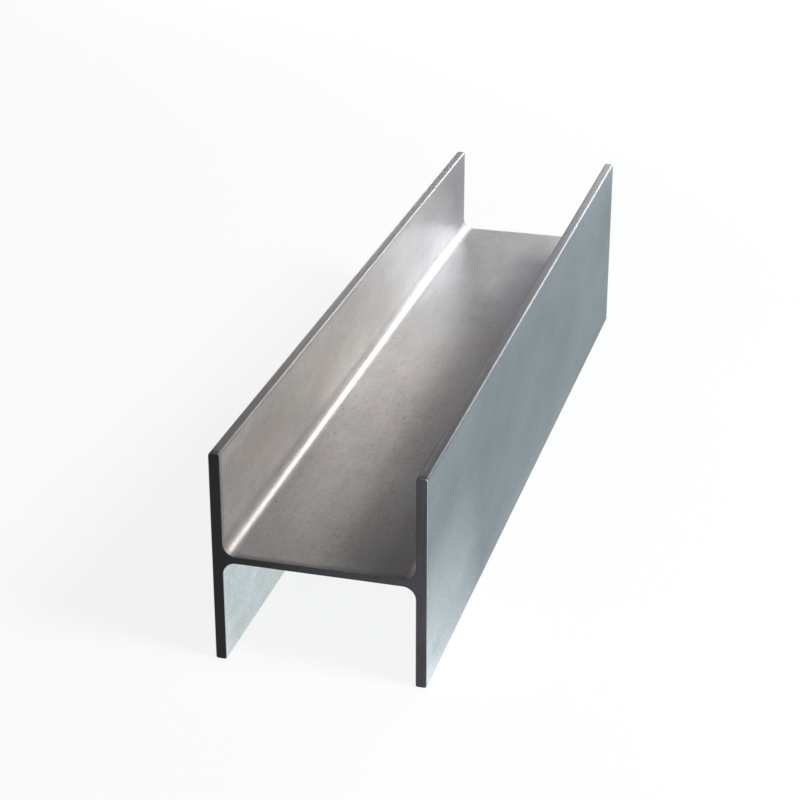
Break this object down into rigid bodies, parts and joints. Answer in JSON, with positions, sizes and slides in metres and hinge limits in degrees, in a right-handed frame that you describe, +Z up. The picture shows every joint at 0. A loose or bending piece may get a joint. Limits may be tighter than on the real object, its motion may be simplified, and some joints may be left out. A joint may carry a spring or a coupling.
{
  "type": "h-beam",
  "caption": "Short length of hot-rolled steel H-beam with wide parallel flanges, root fillets and square sawn ends, lying web-flat on its flange toes.",
  "frame": {"origin": "on the floor, under the middle of the beam", "axes": "+X across the section's depth, +Y along the beam from the sawn end nearest the picture's camera to the far one, +Z up along the flange width"},
  "size_m": [0.23, 1.05, 0.24],
  "materials": {
    "rolled_steel": "satin hot-rolled surface, dark sawn ends"
  },
  "bodies": {
    "root": {"h_beam": "rolled_steel"}
  },
  "joints": []
}
